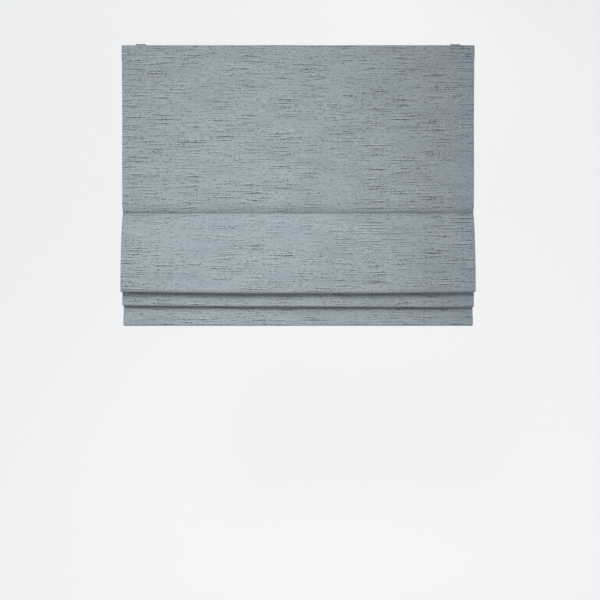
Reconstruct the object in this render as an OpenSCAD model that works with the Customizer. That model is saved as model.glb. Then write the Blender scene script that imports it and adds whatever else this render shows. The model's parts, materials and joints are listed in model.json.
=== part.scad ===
// Cordless roman blind, half raised.
// The cloth hangs from the front of a headrail and is gathered into two hanging folds over a straight hem.
// Flat battens in pockets behind the cloth carry eyelets, and two lift cords run through the eyelets
// from spools on a spring-balanced shaft inside the headrail.
// The origin is the middle of the bracket holes on the mounting face: +X right, -Y to the room, +Z up.

/* [Cloth] */
// Width of the cloth
blind_w = 889; // [700:1:1100]
// Thickness of the cloth
cloth_t = 1.2; // [0.9:0.1:1.5]
// Top edge of the cloth to the middle of the upper batten
top_drop = 410; // [330:1:520]
// Middle of a batten to the bottom of the fold that hangs from it
fold_drop = 214; // [180:1:260]
// Middle of the lower batten to the bottom edge of the cloth
hem_drop = 228; // [205:1:290]
// Clear height between one batten's pocket and the next when gathered
fold_gap = 10; // [9:0.5:16]
// How far the front fold stands forward of the battens
front_reach = 34; // [28:0.5:45]
// How far the rear fold stands forward of the battens
rear_reach = 8; // [7:0.1:11]
// How far the hem hangs behind the battens
hem_back = 13; // [11:0.1:18]
// Radius of the round bottom of the front fold
front_fold_r = 7; // [5:0.1:8]
// Radius of the round bottom of the rear fold
rear_fold_r = 5; // [4:0.1:5.5]

/* [Battens] */
// Height of the flat battens
batten_h = 20; // [16:0.5:24]
// Thickness of the flat battens
batten_t = 2.5; // [2:0.1:3]
// Batten end to the side edge of the cloth
batten_inset = 9; // [4:1:20]
// Stitched margin above and below a batten
pocket_seam = 3; // [2:0.1:4]
// Thickness of the pocket strips
strip_t = 0.8; // [0.5:0.1:1]
// Radius of a cord eyelet, at the middle of its rim
ring_r = 4.3; // [3.9:0.1:4.8]
// Diameter of an eyelet's rim
ring_wire_d = 2.4; // [2:0.1:2.6]
// Radius of the stem that holds an eyelet in its batten
stem_r = 1.5; // [1.2:0.1:1.8]
// Height of the beads that end the lift cords
bead_h = 10; // [8:0.5:13]

/* [Bottom rail] */
// Height of the weight bar in the hem
bar_h = 25; // [18:0.5:30]
// Thickness of the weight bar
bar_t = 5; // [4:0.1:6.5]
// Length of bar that an end cap covers
bar_cap_len = 14; // [8:1:24]
// Thickness of an end cap's wall
bar_cap_wall = 1.2; // [0.8:0.1:1.5]
// How far an end cap shows past the edge of the cloth
bar_cap_show = 1; // [0.5:0.1:2]

/* [Headrail] */
// Depth of the headrail, front to back
rail_d = 50; // [41:0.5:58]
// Height of the headrail
rail_h = 38; // [37:0.5:46]
// Sheet thickness of the headrail
rail_wall = 1.4; // [1:0.1:1.6]
// Width of the lips along its open top
lip_w = 8; // [7:0.1:10]
// Outer bend radius of the headrail
rail_bend = 3; // [2.6:0.1:3.2]
// Thickness of the end cap plates
cap_t = 2.4; // [2:0.1:4]
// How far an end cap shows past the edge of the cloth
cap_show = 2; // [1:0.1:4]
// Depth of the end cap plugs
cap_plug = 22; // [20:0.5:25]
// Mounting face to the top of the headrail
hang_gap = 6; // [5:0.1:9]
// Height of the hook and loop tapes
tape_h = 20; // [12:1:28]
// Thickness of each tape
tape_t = 1.2; // [0.8:0.1:2]

/* [Brackets] */
// Side edge of the cloth to the middle of a bracket
bracket_inset = 44.5; // [42:0.5:90]
// Width of a bracket
bracket_w = 25; // [20:0.5:30]
// Sheet thickness of a bracket
bracket_t = 1.6; // [1.2:0.1:2]
// Upright of a bracket to the middle of its screw hole
hole_set = 6.1; // [5:0.1:7]
// Diameter of a screw hole
hole_d = 4.5; // [3.5:0.1:5.2]
// Length of the feet that hold the lips
foot_len = 4.5; // [3.5:0.1:5]

/* [Lift] */
// Side edge of the cloth to a lift cord
cord_inset = 144.5; // [130:0.5:240]
// Front of the headrail to a lift cord
cord_set = 15.5; // [14.5:0.1:18]
// Diameter of a lift cord
cord_d = 1.6; // [1.2:0.1:1.8]
// Width of the six-sided lift shaft across its flats
shaft_af = 6; // [5:0.1:6.5]
// Shaft length past each spool
shaft_over = 26; // [18:1:30]
// Gap between a spool's flanges and the back of the headrail
spool_clear = 1.6; // [1:0.1:2.2]
// How far a spool's flanges stand above its drum
flange_rise = 3.4; // [3:0.1:4]
// Thickness of the spools' flanges
flange_t = 1.6; // [1:0.1:2.5]
// Radius of a spool's journals
journal_r = 5; // [4.6:0.1:5.5]
// Turns of cord that a spool can still take
spare_turns = 7; // [5:1:9]
// Wall thickness of the cradles
cradle_wall = 2.4; // [2:0.1:3]
// Outer radius of a cradle's cord nozzle
nozzle_r = 3.6; // [3.2:0.1:4.2]

/* [Spring motor] */
// Width of the spring ribbon
ribbon_w = 24; // [16:0.5:40]
// Thickness of the spring ribbon between its coils
ribbon_t = 0.5; // [0.3:0.1:0.8]
// Gap between the two coils of the spring
coil_gap = 2.2; // [1.5:0.1:3]
// Gap between the storage coil and the motor's case
coil_clear = 1.3; // [0.8:0.1:2]
// How far the power spool's flanges stand above its coil
flange_show = 0.4; // [0.3:0.1:1]
// Radius of the power spool's drum
power_drum_r = 6; // [5.2:0.1:6.6]
// Radius of the storage pin
pin_r = 3; // [2:0.1:4]
// Wall thickness of the motor's case and cover
case_wall = 2; // [1.6:0.1:2.4]
// Wall thickness of the shaft bushes
bush_wall = 1.6; // [1.2:0.1:2.2]

/* [Hidden] */
$fn = 48;
dark = "#2b2d2f";
cloth_colour = "#97a2aa";
white_plastic = "#eceae4";
slack = 0.3;        // gap between loose pieces
fit = 0.1;          // gap between pieces that fit together
running = 0.08;     // radial gap of turning fits
bend_steps = 5;     // straight steps in a rounded corner
curve_steps = 9;    // straight steps in a long cloth curve
turn_steps = 10;    // straight steps in the turn of a fold

// Headrail levels and planes
rail_top = -hang_gap;
rail_bottom = rail_top - rail_h;
rail_floor = rail_bottom + rail_wall;
lip_under = rail_top - rail_wall;
rail_front = -rail_d / 2;
rail_flat = rail_d / 2 - rail_bend;             // half depth of the flat floor
rail_len = blind_w + 2 * (cap_show - cap_t);
bracket_x = blind_w / 2 - bracket_inset;

// Spring coils side by side in the motor's case, and the shaft through the one at the back
motor_half = rail_flat - fit;
motor_in = motor_half - case_wall;
coil_room = 2 * motor_in - slack - flange_show - coil_gap - coil_clear;
power_coil_r = coil_room / 4 + slack;
storage_coil_r = coil_room / 4 - slack;
power_flange_r = power_coil_r + flange_show;
shaft_y = motor_in - slack - power_flange_r;
storage_y = storage_coil_r + coil_clear - motor_in;
coil_spacing = shaft_y - storage_y;
shaft_z = (rail_floor + lip_under) / 2;
flange_r = rail_d / 2 - rail_wall - shaft_y - spool_clear;
drum_r = flange_r - flange_rise;

// Cloth planes and levels
cord_x = blind_w / 2 - cord_inset;
cord_y = rail_front + cord_set;
face_y = rail_front - 2 * tape_t - cloth_t / 2;
ring_out = ring_r + ring_wire_d / 2;
pocket_depth = batten_t + 2 * fit;
zone_y = cord_y - ring_out - strip_t - pocket_depth - cloth_t / 2;
zone_half = batten_h / 2 + pocket_seam;
stack_step = 2 * zone_half + fold_gap;
batten_y = zone_y + cloth_t / 2 + fit + batten_t / 2;
batten_z = [for (k = [0:2]) rail_top - top_drop - k * stack_step];
hem_z = batten_z[2] - hem_drop;
hairpin_r = 2;

// Bottom rail
hem_r = bar_t / 2 + bar_cap_wall + slack + cloth_t / 2;
hem_middle = [zone_y + hem_back + hem_r, hem_z + cloth_t / 2 + hem_r];
bar_y = hem_middle[0];
bar_z = hem_middle[1] - slack + fit + (bar_h - bar_t) / 2;
bar_len = blind_w - 2 * bar_cap_show;
bar_cap_end = 2 * bar_cap_show;
hem_turn = bar_h + hem_r + 8;                   // height of the turned-up hem

// Directions and curves, as [y, z] points
function unit(v) = v / norm(v);
function left_of(v) = [-v[1], v[0]];
function polar(centre, r, angle) = centre + r * [cos(angle), sin(angle)];
function arc(centre, r, from, to, steps) =
    [for (k = [0:steps]) polar(centre, r, from + (to - from) * k / steps)];
function bezier(a, b, c, d, steps) =
    [for (k = [1:steps - 1]) let (t = k / steps, s = 1 - t)
        s * s * s * a + 3 * s * s * t * b + 3 * s * t * t * c + t * t * t * d];
function run(path, i = 1) = i >= len(path) ? 0 : norm(path[i] - path[i - 1]) + run(path, i + 1);

// Corner at b, between a and c, rounded to radius r
function corner(a, b, c, r) =
    let (u = unit(a - b),
         v = unit(c - b),
         half = acos(u * v) / 2,
         centre = b + unit(u + v) * r / sin(half),
         start = b + u * r / tan(half) - centre,
         stop = b + v * r / tan(half) - centre,
         from = atan2(start[1], start[0]),
         turn = atan2(start[0] * stop[1] - start[1] * stop[0], start * stop))
    arc(centre, r, from, from + turn, bend_steps);
function rounded(path, r) =
    [path[0],
     for (i = [1:len(path) - 2]) each corner(path[i - 1], path[i], path[i + 1], r),
     path[len(path) - 1]];
function round_box(half, low, high, r) =
    let (box = [[-half, low], [half, low], [half, high], [-half, high]])
    [for (i = [0:3]) each corner(box[(i + 3) % 4], box[i], box[(i + 1) % 4], r)];

// Outline of a strip of thickness t with its middle on the path
function beside(path, i, d) =
    let (last = len(path) - 1,
         before = unit(path[max(i, 1)] - path[max(i, 1) - 1]),
         after = unit(path[min(i, last - 1) + 1] - path[min(i, last - 1)]),
         mean = unit(before + after))
    path[i] + left_of(mean) * d / (mean * before);
function strip(path, t) =
    concat([for (i = [0:len(path) - 1]) beside(path, i, t / 2)],
           [for (i = [len(path) - 1:-1:0]) beside(path, i, -t / 2)]);

// Solids laid along the width
module along_x(length) rotate([90, 0, 90]) linear_extrude(length, center = true) children();
module at_x(x) translate([x, 0, 0]) children();
module rod_x(r, length) rotate([0, 90, 0]) cylinder(r = r, h = length, center = true);
module hex_x(r, length) rotate([0, 90, 0]) cylinder(r = r, h = length, center = true, $fn = 6);
module on_shaft() translate([0, shaft_y, shaft_z]) children();
module box_yz(y0, y1, z0, z1) translate([y0, z0]) square([y1 - y0, z1 - z0]);
module both_cords() for (side = [-1, 1]) translate([side * cord_x, cord_y, 0]) children();
module stadium(w, h) {
    square([w, h - w], center = true);
    for (way = [-1, 1]) translate([0, way * (h - w) / 2]) circle(d = w);
}

// Headrail: a folded channel, open at the top between two lips, with a hole for each cord nozzle
rail_path = let (side = rail_d / 2 - rail_wall / 2,
                 low = rail_bottom + rail_wall / 2,
                 high = rail_top - rail_wall / 2,
                 lip = rail_d / 2 - lip_w)
    rounded([[-lip, high], [-side, high], [-side, low], [side, low], [side, high], [lip, high]],
            rail_bend - rail_wall / 2);
module headrail() color("#d9dcdd") difference() {
    along_x(rail_len) polygon(strip(rail_path, rail_wall));
    both_cords() translate([0, 0, rail_bottom - 1]) cylinder(r = nozzle_r + fit, h = rail_wall + 2);
}

// End cap: a plate over the channel's end, a hollow plug inside it and a small lug standing on the plug
lug_w = 4;
lug_h = 3.2;
lug_inset = 4.5;
lug_y = -rail_d / 2 + lip_w + slack;
module end_cap(side) color(dark) {
    at_x(side * (rail_len + cap_t) / 2) along_x(cap_t)
        polygon(round_box(rail_d / 2, rail_bottom, rail_top, rail_bend));
    at_x(side * (rail_len - cap_plug) / 2) along_x(cap_plug) difference() {
        box_yz(-rail_flat, rail_flat, rail_floor, lip_under);
        box_yz(-rail_flat + cap_t, rail_flat - cap_t, rail_floor + cap_t, lip_under - cap_t);
    }
    at_x(side * (rail_len / 2 - cap_plug + lug_inset)) along_x(lug_w)
        box_yz(lug_y, lug_y + lug_w, lip_under - cap_t / 2, rail_top + lug_h);
}

// Bracket: a folded clip whose feet hold the lips from inside, with a release tab over the front lip
leg_y = rail_d / 2 - lip_w - bracket_t / 2 - slack;
leg = leg_y - bracket_t / 2;
hole_y = leg - hole_set;
bracket_path = let (top = -bracket_t / 2,
                    foot = lip_under - bracket_t / 2,
                    reach = leg_y + foot_len)
    rounded([[-reach, foot], [-leg, foot], [-leg, top], [leg, top], [leg, foot], [reach, foot]], bracket_t);
tab_w = 0.6 * bracket_w;
module bracket(side) color(dark) at_x(side * bracket_x) difference() {
    union() {
        along_x(bracket_w) polygon(strip(bracket_path, bracket_t));
        along_x(tab_w) box_yz(rail_front, -leg_y + bracket_t / 2, rail_top, rail_top + bracket_t);
    }
    for (way = [-1, 1]) translate([0, way * hole_y, -bracket_t - 1])
        cylinder(d = hole_d, h = bracket_t + 2);
}

// Cloth: one path from the top edge, over three battens and round two folds, to the hem
fold_front = [zone_y - front_reach, zone_y - rear_reach];
fold_r = [front_fold_r, rear_fold_r];
fold_lean = [20, 0];                            // lean of a fold's back where it reaches the next batten
fold_middle = [for (k = [0:1])
    [fold_front[k] + fold_r[k], batten_z[k] - fold_drop + fold_r[k] + cloth_t / 2]];
hairpin_middle = [for (k = [0:1]) [zone_y - hairpin_r, batten_z[k + 1] + zone_half]];
kick = 2 * hairpin_r + 12 * cloth_t;             // how hard the cloth turns forward under a batten
function fold_path(k) =
    let (from = [zone_y, batten_z[k] - zone_half],
         front = fold_middle[k] - [fold_r[k], 0],
         back = fold_middle[k] + [fold_r[k], 0],
         to = polar(hairpin_middle[k], hairpin_r, 180 - fold_lean[k]),
         rise = fold_drop / 3)
    concat([from],
           bezier(from, from - [kick, fold_gap], front + [0, 1.4 * rise], front, curve_steps),
           arc(fold_middle[k], fold_r[k], 180, 360, turn_steps),
           bezier(back, back + [0, rise], to - 0.6 * rise * [sin(fold_lean[k]), cos(fold_lean[k])], to,
                  curve_steps),
           arc(hairpin_middle[k], hairpin_r, 180 - fold_lean[k], 0, turn_steps));
panel_path = let (from = [face_y, rail_bottom],
                  to = [zone_y, batten_z[0] + zone_half],
                  drop = from[1] - to[1])
    concat([[face_y, rail_top], from],
           bezier(from, from - [0, 0.75 * drop], to + [0.5 * (face_y - zone_y), 0.09 * drop], to, 12),
           [to]);
hem_path = let (from = [zone_y, batten_z[2] - zone_half],
                to = [zone_y + hem_back, hem_z + hem_turn],
                drop = from[1] - to[1])
    concat([from],
           bezier(from, from - [0, drop / 3], to + [0, drop / 2], to, curve_steps),
           [to],
           arc(hem_middle, hem_r, 180, 360, turn_steps),
           [hem_middle + [hem_r, bar_h / 2]]);
turn_path = let (seam = zone_y + hem_back + cloth_t - fit / 2,
                 bend = hem_z + bar_h + 2 * cloth_t)
    [hem_middle + [hem_r, bar_h / 4],
     [hem_middle[0] + hem_r, bend],
     [seam, hem_z + hem_turn - 4],
     [seam, hem_z + hem_turn]];
cloth_path = concat(panel_path, fold_path(0), fold_path(1), hem_path);
fold_run = [for (k = [0:1]) 2 * zone_half + run(fold_path(k))];

module pocket(z) {
    seam = zone_y + (cloth_t + strip_t) / 2 - fit / 2;
    back = zone_y + cloth_t / 2 + pocket_depth + strip_t / 2;
    wall = batten_h / 2 + fit + strip_t / 2;
    polygon(strip([[seam, z + zone_half], [seam, z + wall], [back, z + wall], [back, z - wall],
                   [seam, z - wall], [seam, z - zone_half]], strip_t));
}
module cloth() color(cloth_colour) difference() {
    along_x(blind_w) {
        polygon(strip(cloth_path, cloth_t));
        polygon(strip(turn_path, cloth_t));
        for (z = batten_z) pocket(z);
    }
    for (z = batten_z) both_cords() translate([0, 0, z]) stem(stem_r + fit, batten_y);
}

// Batten: a flat strip with a hole for each eyelet's stem
module stem(r, to_y) rotate([90, 0, 0]) translate([0, 0, ring_r]) cylinder(r = r, h = cord_y - ring_r - to_y);
module batten(k) color("#e3e0d6") difference() {
    translate([0, batten_y, batten_z[k]])
        cube([blind_w - 2 * batten_inset, batten_t, batten_h], center = true);
    both_cords() translate([0, 0, batten_z[k]]) stem(stem_r, batten_y - batten_t);
}

// Eyelets: a rim round each cord and a stem through the pocket into the batten
module eyelets(k) color(white_plastic) both_cords() translate([0, 0, batten_z[k]]) {
    rotate_extrude($fn = 24) translate([ring_r, 0]) circle(d = ring_wire_d, $fn = 14);
    stem(stem_r, batten_y - batten_t / 2, $fn = 24);
}

// Lift cord: from a turn over its spool, round the nozzle's mouth and down through the eyelets to its bead
cord_turn_r = drum_r + fit + cord_d / 2;
cord_turn = 230;
cord_bend_r = 3 * cord_d;
cord_lap = 0.2;                                 // how far a straight run reaches into the arcs at its ends
cord_bend = [cord_y + cord_bend_r, rail_floor + cradle_wall];
cord_slope = let (way = [shaft_y, shaft_z] - cord_bend)
    atan2(way[1], way[0]) + asin((cord_turn_r - cord_bend_r) / norm(way));
cord_leave = cord_slope + 90;                   // angle round the spool where the cord leaves it
bead_top = batten_z[2] - ring_wire_d / 2;
cord_low = bead_top - 0.8 * bead_h;
module cord_run(from, to) translate([0, from[0], from[1]])
    rotate([atan2(from[0] - to[0], to[1] - from[1]), 0, 0]) translate([0, 0, -cord_lap])
        cylinder(d = cord_d - cord_lap / 5, h = norm(to - from) + 2 * cord_lap, $fn = 24);
module cord_arc(centre, r, from, to) translate([0, centre[0], centre[1]]) rotate([90, 0, 90])
    rotate_extrude(angle = to - from, start = from, $fn = 48)
        translate([r, 0]) circle(d = cord_d, $fn = 24);
module lift_cord(side) color("#e8e6dd") at_x(side * cord_x) {
    cord_run([cord_y, cord_low], [cord_y, cord_bend[1]]);
    cord_arc(cord_bend, cord_bend_r, cord_leave, 180);
    cord_run(polar(cord_bend, cord_bend_r, cord_leave),
             polar([shaft_y, shaft_z], cord_turn_r, cord_leave));
    cord_arc([shaft_y, shaft_z], cord_turn_r, cord_leave - cord_turn, cord_leave);
}

// Cord winding: the turns on a spool, beside the turn that the hanging cord leaves from
gathered = fold_run[0] + fold_run[1] - 2 * stack_step;
wound_turns = floor(gathered / (2 * PI * cord_turn_r));
winding_from = cord_d / 2 + fit;
module cord_winding(side) color("#e8e6dd") on_shaft() at_x(side * (cord_x + winding_from))
    rotate([0, side * 90, 0]) rotate_extrude($fn = 24) polygon(concat(
        [[drum_r, 0]],
        [for (k = [0:wound_turns - 1]) each
            [[drum_r + 0.7 * cord_d, k * cord_d],
             [drum_r + fit + cord_d, (k + 0.3) * cord_d],
             [drum_r + fit + cord_d, (k + 0.7) * cord_d]]],
        [[drum_r + 0.7 * cord_d, wound_turns * cord_d], [drum_r, wound_turns * cord_d]]));

// Bead: a bell that holds up the lower eyelet, with the cord's end inside it
module cord_beads() color(white_plastic) both_cords() translate([0, 0, bead_top - bead_h]) difference() {
    cylinder(r1 = ring_r + 0.4, r2 = 0.55 * ring_r, h = bead_h);
    translate([0, 0, -1]) cylinder(d = cord_d + 2 * fit, h = bead_h + 2, $fn = 24);
}

// Lift shaft: a six-sided bar
hex_r = shaft_af / 2 / cos(30);
drum_len = (wound_turns + spare_turns + 3) * cord_d;
spool_len = drum_len + 2 * flange_t;
spool_x = cord_x + drum_len / 2 - 3 * cord_d;
journal_len = cradle_wall + 2 * slack;
module lift_shaft() color("#8d9194") on_shaft() hex_x(hex_r, 2 * spool_x + spool_len + 2 * shaft_over);

// Spool: a drum between flanges, with a journal at each end
module spool(side) color(white_plastic) on_shaft() at_x(side * spool_x) difference() {
    union() {
        rod_x(drum_r, spool_len);
        rod_x(journal_r, spool_len + 2 * journal_len);
        for (way = [-1, 1]) at_x(way * (drum_len + flange_t) / 2) rod_x(flange_r, flange_t);
    }
    hex_x(hex_r + fit, spool_len + 4 * journal_len);
}

// Cradle: a base on the channel's floor, two cheeks that the spool snaps into and a nozzle for the cord
cheek_gap = spool_len + 2 * slack;
cheek_r = journal_r + 1.4 * cradle_wall;
cradle_half = rail_flat - fit;
nozzle_drop = 3;
module cheek() difference() {
    union() {
        translate([shaft_y, shaft_z]) circle(r = cheek_r);
        box_yz(shaft_y - cheek_r, shaft_y + cheek_r, rail_floor, shaft_z);
        box_yz(-cradle_half, shaft_y, rail_floor, rail_floor + 3 * cradle_wall);
    }
    translate([shaft_y, shaft_z]) circle(r = journal_r + running);
    box_yz(shaft_y - 0.8 * journal_r, shaft_y + 0.8 * journal_r, shaft_z, shaft_z + flange_r);
}
module cradle(side) color("#c9cbc8") difference() {
    union() {
        at_x(side * spool_x) {
            along_x(cheek_gap + 2 * cradle_wall)
                box_yz(-cradle_half, cradle_half, rail_floor, rail_floor + cradle_wall);
            for (way = [-1, 1]) at_x(way * (cheek_gap + cradle_wall) / 2) along_x(cradle_wall) cheek();
        }
        translate([side * cord_x, cord_y, rail_bottom - nozzle_drop])
            cylinder(r = nozzle_r, h = rail_wall + nozzle_drop + cradle_wall);
    }
    translate([side * cord_x, cord_y, rail_bottom - nozzle_drop - 1])
        cylinder(r = nozzle_r / 2, h = rail_wall + nozzle_drop + cradle_wall + 2);
}

// Spring motor: an open case on the channel's floor, its cover, a power spool on the shaft,
// and a ribbon that winds between the power spool and the storage pin
motor_inner = ribbon_w + 2 * flange_t + 4 * slack;
motor_len = motor_inner + 2 * case_wall;
case_top = lip_under - 3 * case_wall;
bush_r = hex_r + running + bush_wall;
module motor_case() color("#4a4e52") difference() {
    along_x(motor_len) box_yz(-motor_half, motor_half, rail_floor, case_top);
    along_x(motor_inner) box_yz(-motor_in, motor_in, rail_floor + case_wall, case_top + 1);
    on_shaft() rod_x(bush_r + running, motor_len + 2);
    translate([0, storage_y, shaft_z]) rod_x(pin_r, motor_len + 2);
}
module motor_cover() color("#5a5f63") {
    along_x(motor_len) box_yz(-motor_half, motor_half, case_top, case_top + case_wall);
    along_x(motor_inner - 2 * fit) difference() {
        box_yz(-motor_in + fit, motor_in - fit, case_top - case_wall, case_top);
        box_yz(-motor_in + 2 * case_wall, motor_in - 2 * case_wall, case_top - 2 * case_wall, case_top);
    }
}
module power_spool() color(white_plastic) on_shaft() difference() {
    union() {
        rod_x(power_drum_r, ribbon_w + 2 * slack);
        for (way = [-1, 1]) at_x(way * (ribbon_w / 2 + slack + flange_t / 2)) rod_x(power_flange_r, flange_t);
    }
    hex_x(hex_r + fit, motor_len);
}
module storage_pin() color("#8d9194") translate([0, storage_y, shaft_z]) rod_x(pin_r, motor_len);
span_path = let (across = acos((storage_coil_r + power_coil_r - ribbon_t) / coil_spacing))
    [polar([storage_y, shaft_z], storage_coil_r - ribbon_t / 2, across),
     polar([shaft_y, shaft_z], power_coil_r - ribbon_t / 2, 180 + across)];
module ring_2d(y, outer, inner) translate([y, shaft_z]) difference() {
    circle(r = outer);
    circle(r = inner);
}
module ribbon_spring() color("#6f7478") {
    along_x(ribbon_w) ring_2d(storage_y, storage_coil_r, pin_r + fit);
    along_x(ribbon_w) ring_2d(shaft_y, power_coil_r, power_drum_r + fit);
    along_x(ribbon_w) polygon(strip(span_path, ribbon_t));
}
module shaft_bushes() color("#c8a45a") on_shaft() for (way = [-1, 1]) difference() {
    union() {
        at_x(way * (motor_inner + case_wall) / 2) rod_x(bush_r, case_wall);
        at_x(way * (motor_len / 2 + fit + flange_t / 2)) rod_x(bush_r + 1.2, flange_t);
        at_x(way * (motor_len / 2)) rod_x(bush_r, case_wall);
    }
    rod_x(hex_r + running, motor_len + 4 * flange_t);
}

// Tapes: hook tape on the channel's front and loop tape behind the cloth's top
module tape(back) color("#dfe1df") along_x(blind_w - 2 * batten_inset)
    box_yz(back - tape_t, back, rail_top - rail_bend - 1 - tape_h, rail_top - rail_bend - 1);

// Bottom rail: a round-edged weight bar in the hem, with a cap on each end
module bottom_rail() color("#b9bcbd") translate([0, bar_y, bar_z]) along_x(bar_len) stadium(bar_t, bar_h);
module rail_cap(side) color(dark) translate([side * (bar_len + bar_cap_end) / 2, bar_y, bar_z]) difference() {
    at_x(-side * bar_cap_len / 2) along_x(bar_cap_len + bar_cap_end)
        stadium(bar_t + 2 * bar_cap_wall, bar_h + 2 * bar_cap_wall);
    at_x(-side * (bar_cap_end + bar_cap_len) / 2) along_x(bar_cap_len + 2 * fit)
        stadium(bar_t + fit, bar_h + fit);
}

headrail();
end_cap(-1);  // end_cap_left
end_cap(1);  // end_cap_right
bracket(-1);  // bracket_left
bracket(1);  // bracket_right
lift_shaft();
spool(-1);  // spool_left
spool(1);  // spool_right
cradle(-1);  // cradle_left
cradle(1);  // cradle_right
cord_winding(-1);  // cord_winding_left
cord_winding(1);  // cord_winding_right
lift_cord(-1);  // lift_cord_left
lift_cord(1);  // lift_cord_right
motor_case();
motor_cover();
power_spool();
storage_pin();
ribbon_spring();
shaft_bushes();
tape(rail_front);  // hook_tape
tape(rail_front - tape_t);  // loop_tape
cloth();
batten(0);  // upper_batten
eyelets(0);  // upper_eyelets
batten(1);  // middle_batten
eyelets(1);  // middle_eyelets
batten(2);  // lower_batten
eyelets(2);  // lower_eyelets
cord_beads();
bottom_rail();
rail_cap(-1);  // rail_cap_left
rail_cap(1);  // rail_cap_right
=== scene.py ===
"""Dresses a half-raised cordless roman blind: slub cloth in two hanging folds, cords and lift hardware."""

import json
import logging
import math
from collections.abc import Sequence
from dataclasses import dataclass, field
from enum import Enum

import bpy
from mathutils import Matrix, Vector, noise


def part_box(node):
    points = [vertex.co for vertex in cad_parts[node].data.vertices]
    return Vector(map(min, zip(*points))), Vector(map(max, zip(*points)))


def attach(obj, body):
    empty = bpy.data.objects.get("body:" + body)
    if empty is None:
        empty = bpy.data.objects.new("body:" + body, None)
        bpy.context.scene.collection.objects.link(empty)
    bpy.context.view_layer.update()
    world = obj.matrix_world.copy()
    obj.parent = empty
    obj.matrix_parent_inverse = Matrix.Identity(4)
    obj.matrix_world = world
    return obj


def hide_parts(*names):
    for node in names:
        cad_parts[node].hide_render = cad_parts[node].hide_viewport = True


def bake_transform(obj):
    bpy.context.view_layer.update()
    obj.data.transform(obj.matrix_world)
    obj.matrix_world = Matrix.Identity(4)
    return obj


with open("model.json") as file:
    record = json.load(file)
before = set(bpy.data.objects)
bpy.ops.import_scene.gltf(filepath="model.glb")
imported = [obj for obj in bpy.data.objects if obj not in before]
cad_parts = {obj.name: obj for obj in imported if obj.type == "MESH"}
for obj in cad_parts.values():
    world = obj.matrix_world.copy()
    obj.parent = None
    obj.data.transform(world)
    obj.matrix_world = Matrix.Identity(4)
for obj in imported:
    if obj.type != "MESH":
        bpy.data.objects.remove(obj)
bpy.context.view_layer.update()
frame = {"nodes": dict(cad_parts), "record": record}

log = logging.getLogger("roman_blind")

MM = 0.001
# Scale at which a wave texture has one band to a unit.
ONE_BAND = math.pi / 10
# Sockets of a colour mix: the two colours, and the result.
MIX_UNDER, MIX_OVER, MIX_RESULT = 6, 7, 2
# Where on the noise each movement of the cloth is read, and how far apart the folds are on it.
RIPPLE_AT, BILLOW_AT, DRIFT_AT = 3.1, 7.7, (1.5, 2.0)
FOLD_APART = 11
Pair = tuple[float, float]
Triple = tuple[float, float, float]
Colour = Triple
Screen = tuple[int, int, int]
Socket = bpy.types.NodeSocket
Piece = bpy.types.Object


class Held(Enum):
    """How a length of cloth is held."""

    HUNG = "hung"
    FOLDED = "folded"
    STRETCHED = "stretched"


class Space(Enum):
    """The coordinates that a finish reads."""

    OBJECT = "Object"
    UV = "UV"


def srgb(red: int, green: int, blue: int) -> Colour:
    """Turns a colour as it looks on screen into the shader's linear values.

    Args:
        red: Red, 0 to 255.
        green: Green, 0 to 255.
        blue: Blue, 0 to 255.

    Returns:
        The linear colour.
    """
    def linear(value: int) -> float:
        """One channel, in linear light."""
        part = value / 255
        return part / 12.92 if part <= 0.04045 else ((part + 0.055) / 1.055) ** 2.4

    return linear(red), linear(green), linear(blue)


# Finishes


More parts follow.
